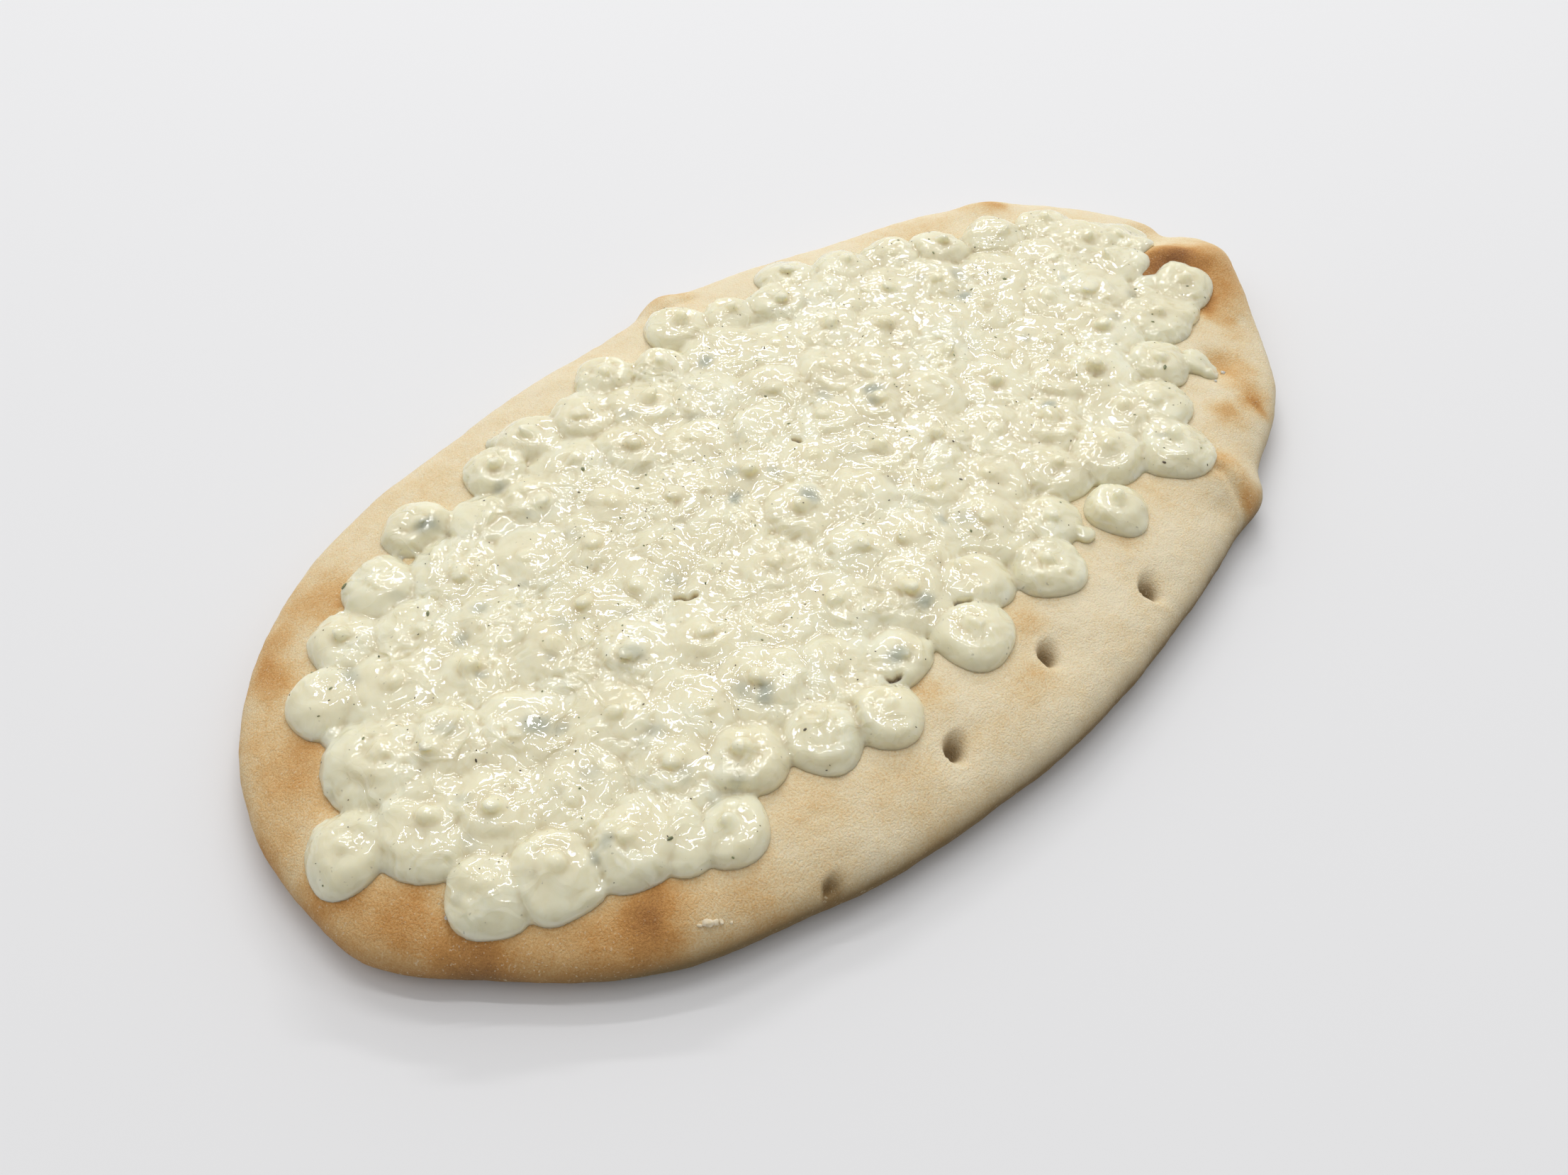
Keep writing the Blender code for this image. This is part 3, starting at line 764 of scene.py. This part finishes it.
# Each kind: name, how many, least and greatest radius in millimetres, colour, seed
GRAIN_KINDS = (
    ("pepper_grains", 300, (0.09, 0.18), linear(74, 66, 54), 5),
    ("herb_flecks", 90, (0.12, 0.30), linear(104, 108, 76), 23),
)
COARSE_SHARE = 0.08
COARSE_SIZE = 1.8
for name, count, sizes, colour, seed in GRAIN_KINDS:
    scatter = random.Random(seed)
    grains = bmesh.new()
    placed = 0
    while placed < count:
        x, y = scatter.uniform(-132, 122), scatter.uniform(-60, 68)
        above = Vector((x, y, 60.0)) * MM + LOAF_SHIFT
        hit, normal, _, _ = cream_skin.ray_cast(above, Vector((0, 0, -1)))
        if hit is None or normal.z < 0.5:
            continue
        size = scatter.uniform(*sizes) * MM
        if scatter.random() < COARSE_SHARE:
            size *= COARSE_SIZE
        made = bmesh.ops.create_icosphere(grains, subdivisions=1, radius=size)
        stretch = Vector((scatter.uniform(1.0, 1.9), scatter.uniform(0.7, 1.0), 0.6))
        bmesh.ops.scale(grains, vec=stretch, verts=made["verts"])
        spin = Matrix.Rotation(scatter.uniform(0, math.pi), 3, "Z")
        turned = normal.to_track_quat("Z", "Y").to_matrix() @ spin
        bmesh.ops.rotate(grains, matrix=turned, verts=made["verts"])
        bmesh.ops.translate(grains, vec=hit, verts=made["verts"])
        placed += 1
    grain_mesh = bpy.data.meshes.new(name)
    grains.to_mesh(grain_mesh)
    grains.free()
    grain_piece = bpy.data.objects.new(name, grain_mesh)
    bpy.context.scene.collection.objects.link(grain_piece)
    finish, tree, shader = new_material(name)
    place = tree.nodes.new("ShaderNodeTexCoord").outputs["Object"]
    shade = noise_node(tree, place, 500.0, 2.0)
    pale = tuple(min(channel * 2.2, 1.0) for channel in colour[:3]) + (1.0,)
    tree.links.new(ramp_node(tree, shade, ((0.35, colour), (0.7, pale))), shader.inputs["Base Color"])
    shader.inputs["Roughness"].default_value = 0.35
    grain_mesh.materials.append(finish)
    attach(grain_piece, "root")

# The crumbs
# A few crumbs of cream tore off by the single dollop and at the sheet's edge, and flakes of dry flour
# lie on the near rim.
dry_flour, tree, shader = new_material("dry_flour")
place = tree.nodes.new("ShaderNodeTexCoord").outputs["Object"]
caked = noise_node(tree, place, 900.0, 3.0)
flour_colour = ramp_node(tree, caked, ((0.3, linear(212, 194, 158)), (0.7, linear(238, 228, 206))))
tree.links.new(flour_colour, shader.inputs["Base Color"])
shader.inputs["Roughness"].default_value = 0.85
# Each crumb: x, y, radius
CREAM_CRUMBS = (
    (37.5, -45.5, 0.9), (39.2, -46.6, 0.7), (35.8, -44.2, 0.6), (41.0, -45.4, 0.55),
    (42.6, -46.4, 0.75), (34.2, -45.0, 0.45), (38.4, -48.2, 0.5), (-119.8, -15.6, 0.75),
    (-118.6, -16.6, 0.4), (86.8, -46.2, 0.5), (81.2, -46.9, 0.4), (-13.5, -50.8, 0.4),
)
FLOUR_CRUMBS = (
    (-92.4, -48.6, 0.75), (-90.6, -50.0, 0.5), (-91.4, -49.4, 0.55), (-93.6, -47.8, 0.35),
    (-89.4, -51.2, 0.3),
)
CRUMB_KINDS = (
    ("cream_crumbs", herb_cream, "cream", CREAM_CRUMBS),
    ("flour_crumbs", dry_flour, "bread", FLOUR_CRUMBS),
)
for name, finish, slot, places in CRUMB_KINDS:
    scatter = random.Random(len(name))
    crumbs = bmesh.new()
    for x, y, radius in places:
        made = bmesh.ops.create_icosphere(crumbs, subdivisions=3, radius=radius)["verts"]
        stretch = Vector((scatter.uniform(1.0, 1.8), scatter.uniform(0.8, 1.1), 0.6))
        bmesh.ops.scale(crumbs, vec=stretch, verts=made)
        for vert in made:
            vert.co += noise.noise_vector(vert.co / 0.7 + Vector((x, y, 0.0))) * 0.35 * radius
        turned = Matrix.Rotation(scatter.uniform(0, math.pi), 3, "Z")
        bmesh.ops.rotate(crumbs, matrix=turned, verts=made)
        bmesh.ops.translate(crumbs, vec=Vector((x, y, bread_top(x, y) + 0.3 * radius)), verts=made)
    crumb_mesh = bpy.data.meshes.new(name)
    crumbs.to_mesh(crumb_mesh)
    crumbs.free()
    crumb_mesh.transform(Matrix.Translation(LOAF_SHIFT) @ Matrix.Scale(MM, 4))
    crumb_mesh.shade_smooth()
    crumb_mesh.materials.append(finish)
    crumb_piece = bpy.data.objects.new(name, crumb_mesh)
    bpy.context.scene.collection.objects.link(crumb_piece)
    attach(crumb_piece, "root")

# The floor and the light
# A plain pale floor, three long narrow lamps across the ceiling behind the loaf, and soft pale light
# from all round that is strongest from behind.
floor_shape = bmesh.new()
bmesh.ops.create_grid(floor_shape, x_segments=1, y_segments=1, size=2.0)
floor_mesh = bpy.data.meshes.new("floor")
floor_shape.to_mesh(floor_mesh)
floor_shape.free()
floor = bpy.data.objects.new("floor", floor_mesh)
bpy.context.scene.collection.objects.link(floor)
floor_finish, tree, shader = new_material("pale_floor")
shader.inputs["Base Color"].default_value = (0.86, 0.86, 0.87, 1.0)
shader.inputs["Roughness"].default_value = 0.9
shader.inputs["Specular IOR Level"].default_value = 0.1
floor_mesh.materials.append(floor_finish)
floor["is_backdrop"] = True

# Each lamp: name, place, length, width, watts
for name, place, long, short, power in (
    ("near_tube", (0.23, 0.16, 1.10), 0.90, 0.033, 2.0),
    ("middle_tube", (0.55, 0.60, 1.10), 0.90, 0.045, 2.7),
    ("far_tube", (1.20, 1.02, 1.10), 0.90, 0.070, 5.6),
):
    lamp = bpy.data.objects.new(name, bpy.data.lights.new(name, "AREA"))
    bpy.context.scene.collection.objects.link(lamp)
    lamp.data.shape = "RECTANGLE"
    lamp.data.size = long
    lamp.data.size_y = short
    lamp.data.energy = power
    lamp.location = place
    lamp.rotation_euler = (Vector((0, 0, 0)) - Vector(place)).to_track_quat("-Z", "Y").to_euler()
world = bpy.data.worlds.new("studio")
world.use_nodes = True
sky = world.node_tree
toward_back = sky.nodes.new("ShaderNodeVectorMath")
toward_back.operation = "DOT_PRODUCT"
toward_back.inputs[1].default_value = (0.42, 0.45, 0.79)
sky.links.new(sky.nodes.new("ShaderNodeTexCoord").outputs["Generated"], toward_back.inputs[0])
overhead = range_node(sky, toward_back.outputs["Value"], -0.3, 1.0, 0.17, 0.84)
sky.links.new(overhead, sky.nodes["Background"].inputs["Strength"])
sky.nodes["Background"].inputs["Color"].default_value = (1.0, 1.0, 1.0, 1.0)
bpy.context.scene.world = world
bpy.context.scene.view_settings.view_transform = "Standard"

visual_low, visual_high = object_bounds()
sizes = {
    "solid": [list(solid_low), list(solid_high)],
    "visual": [list(visual_low), list(visual_high)],
}
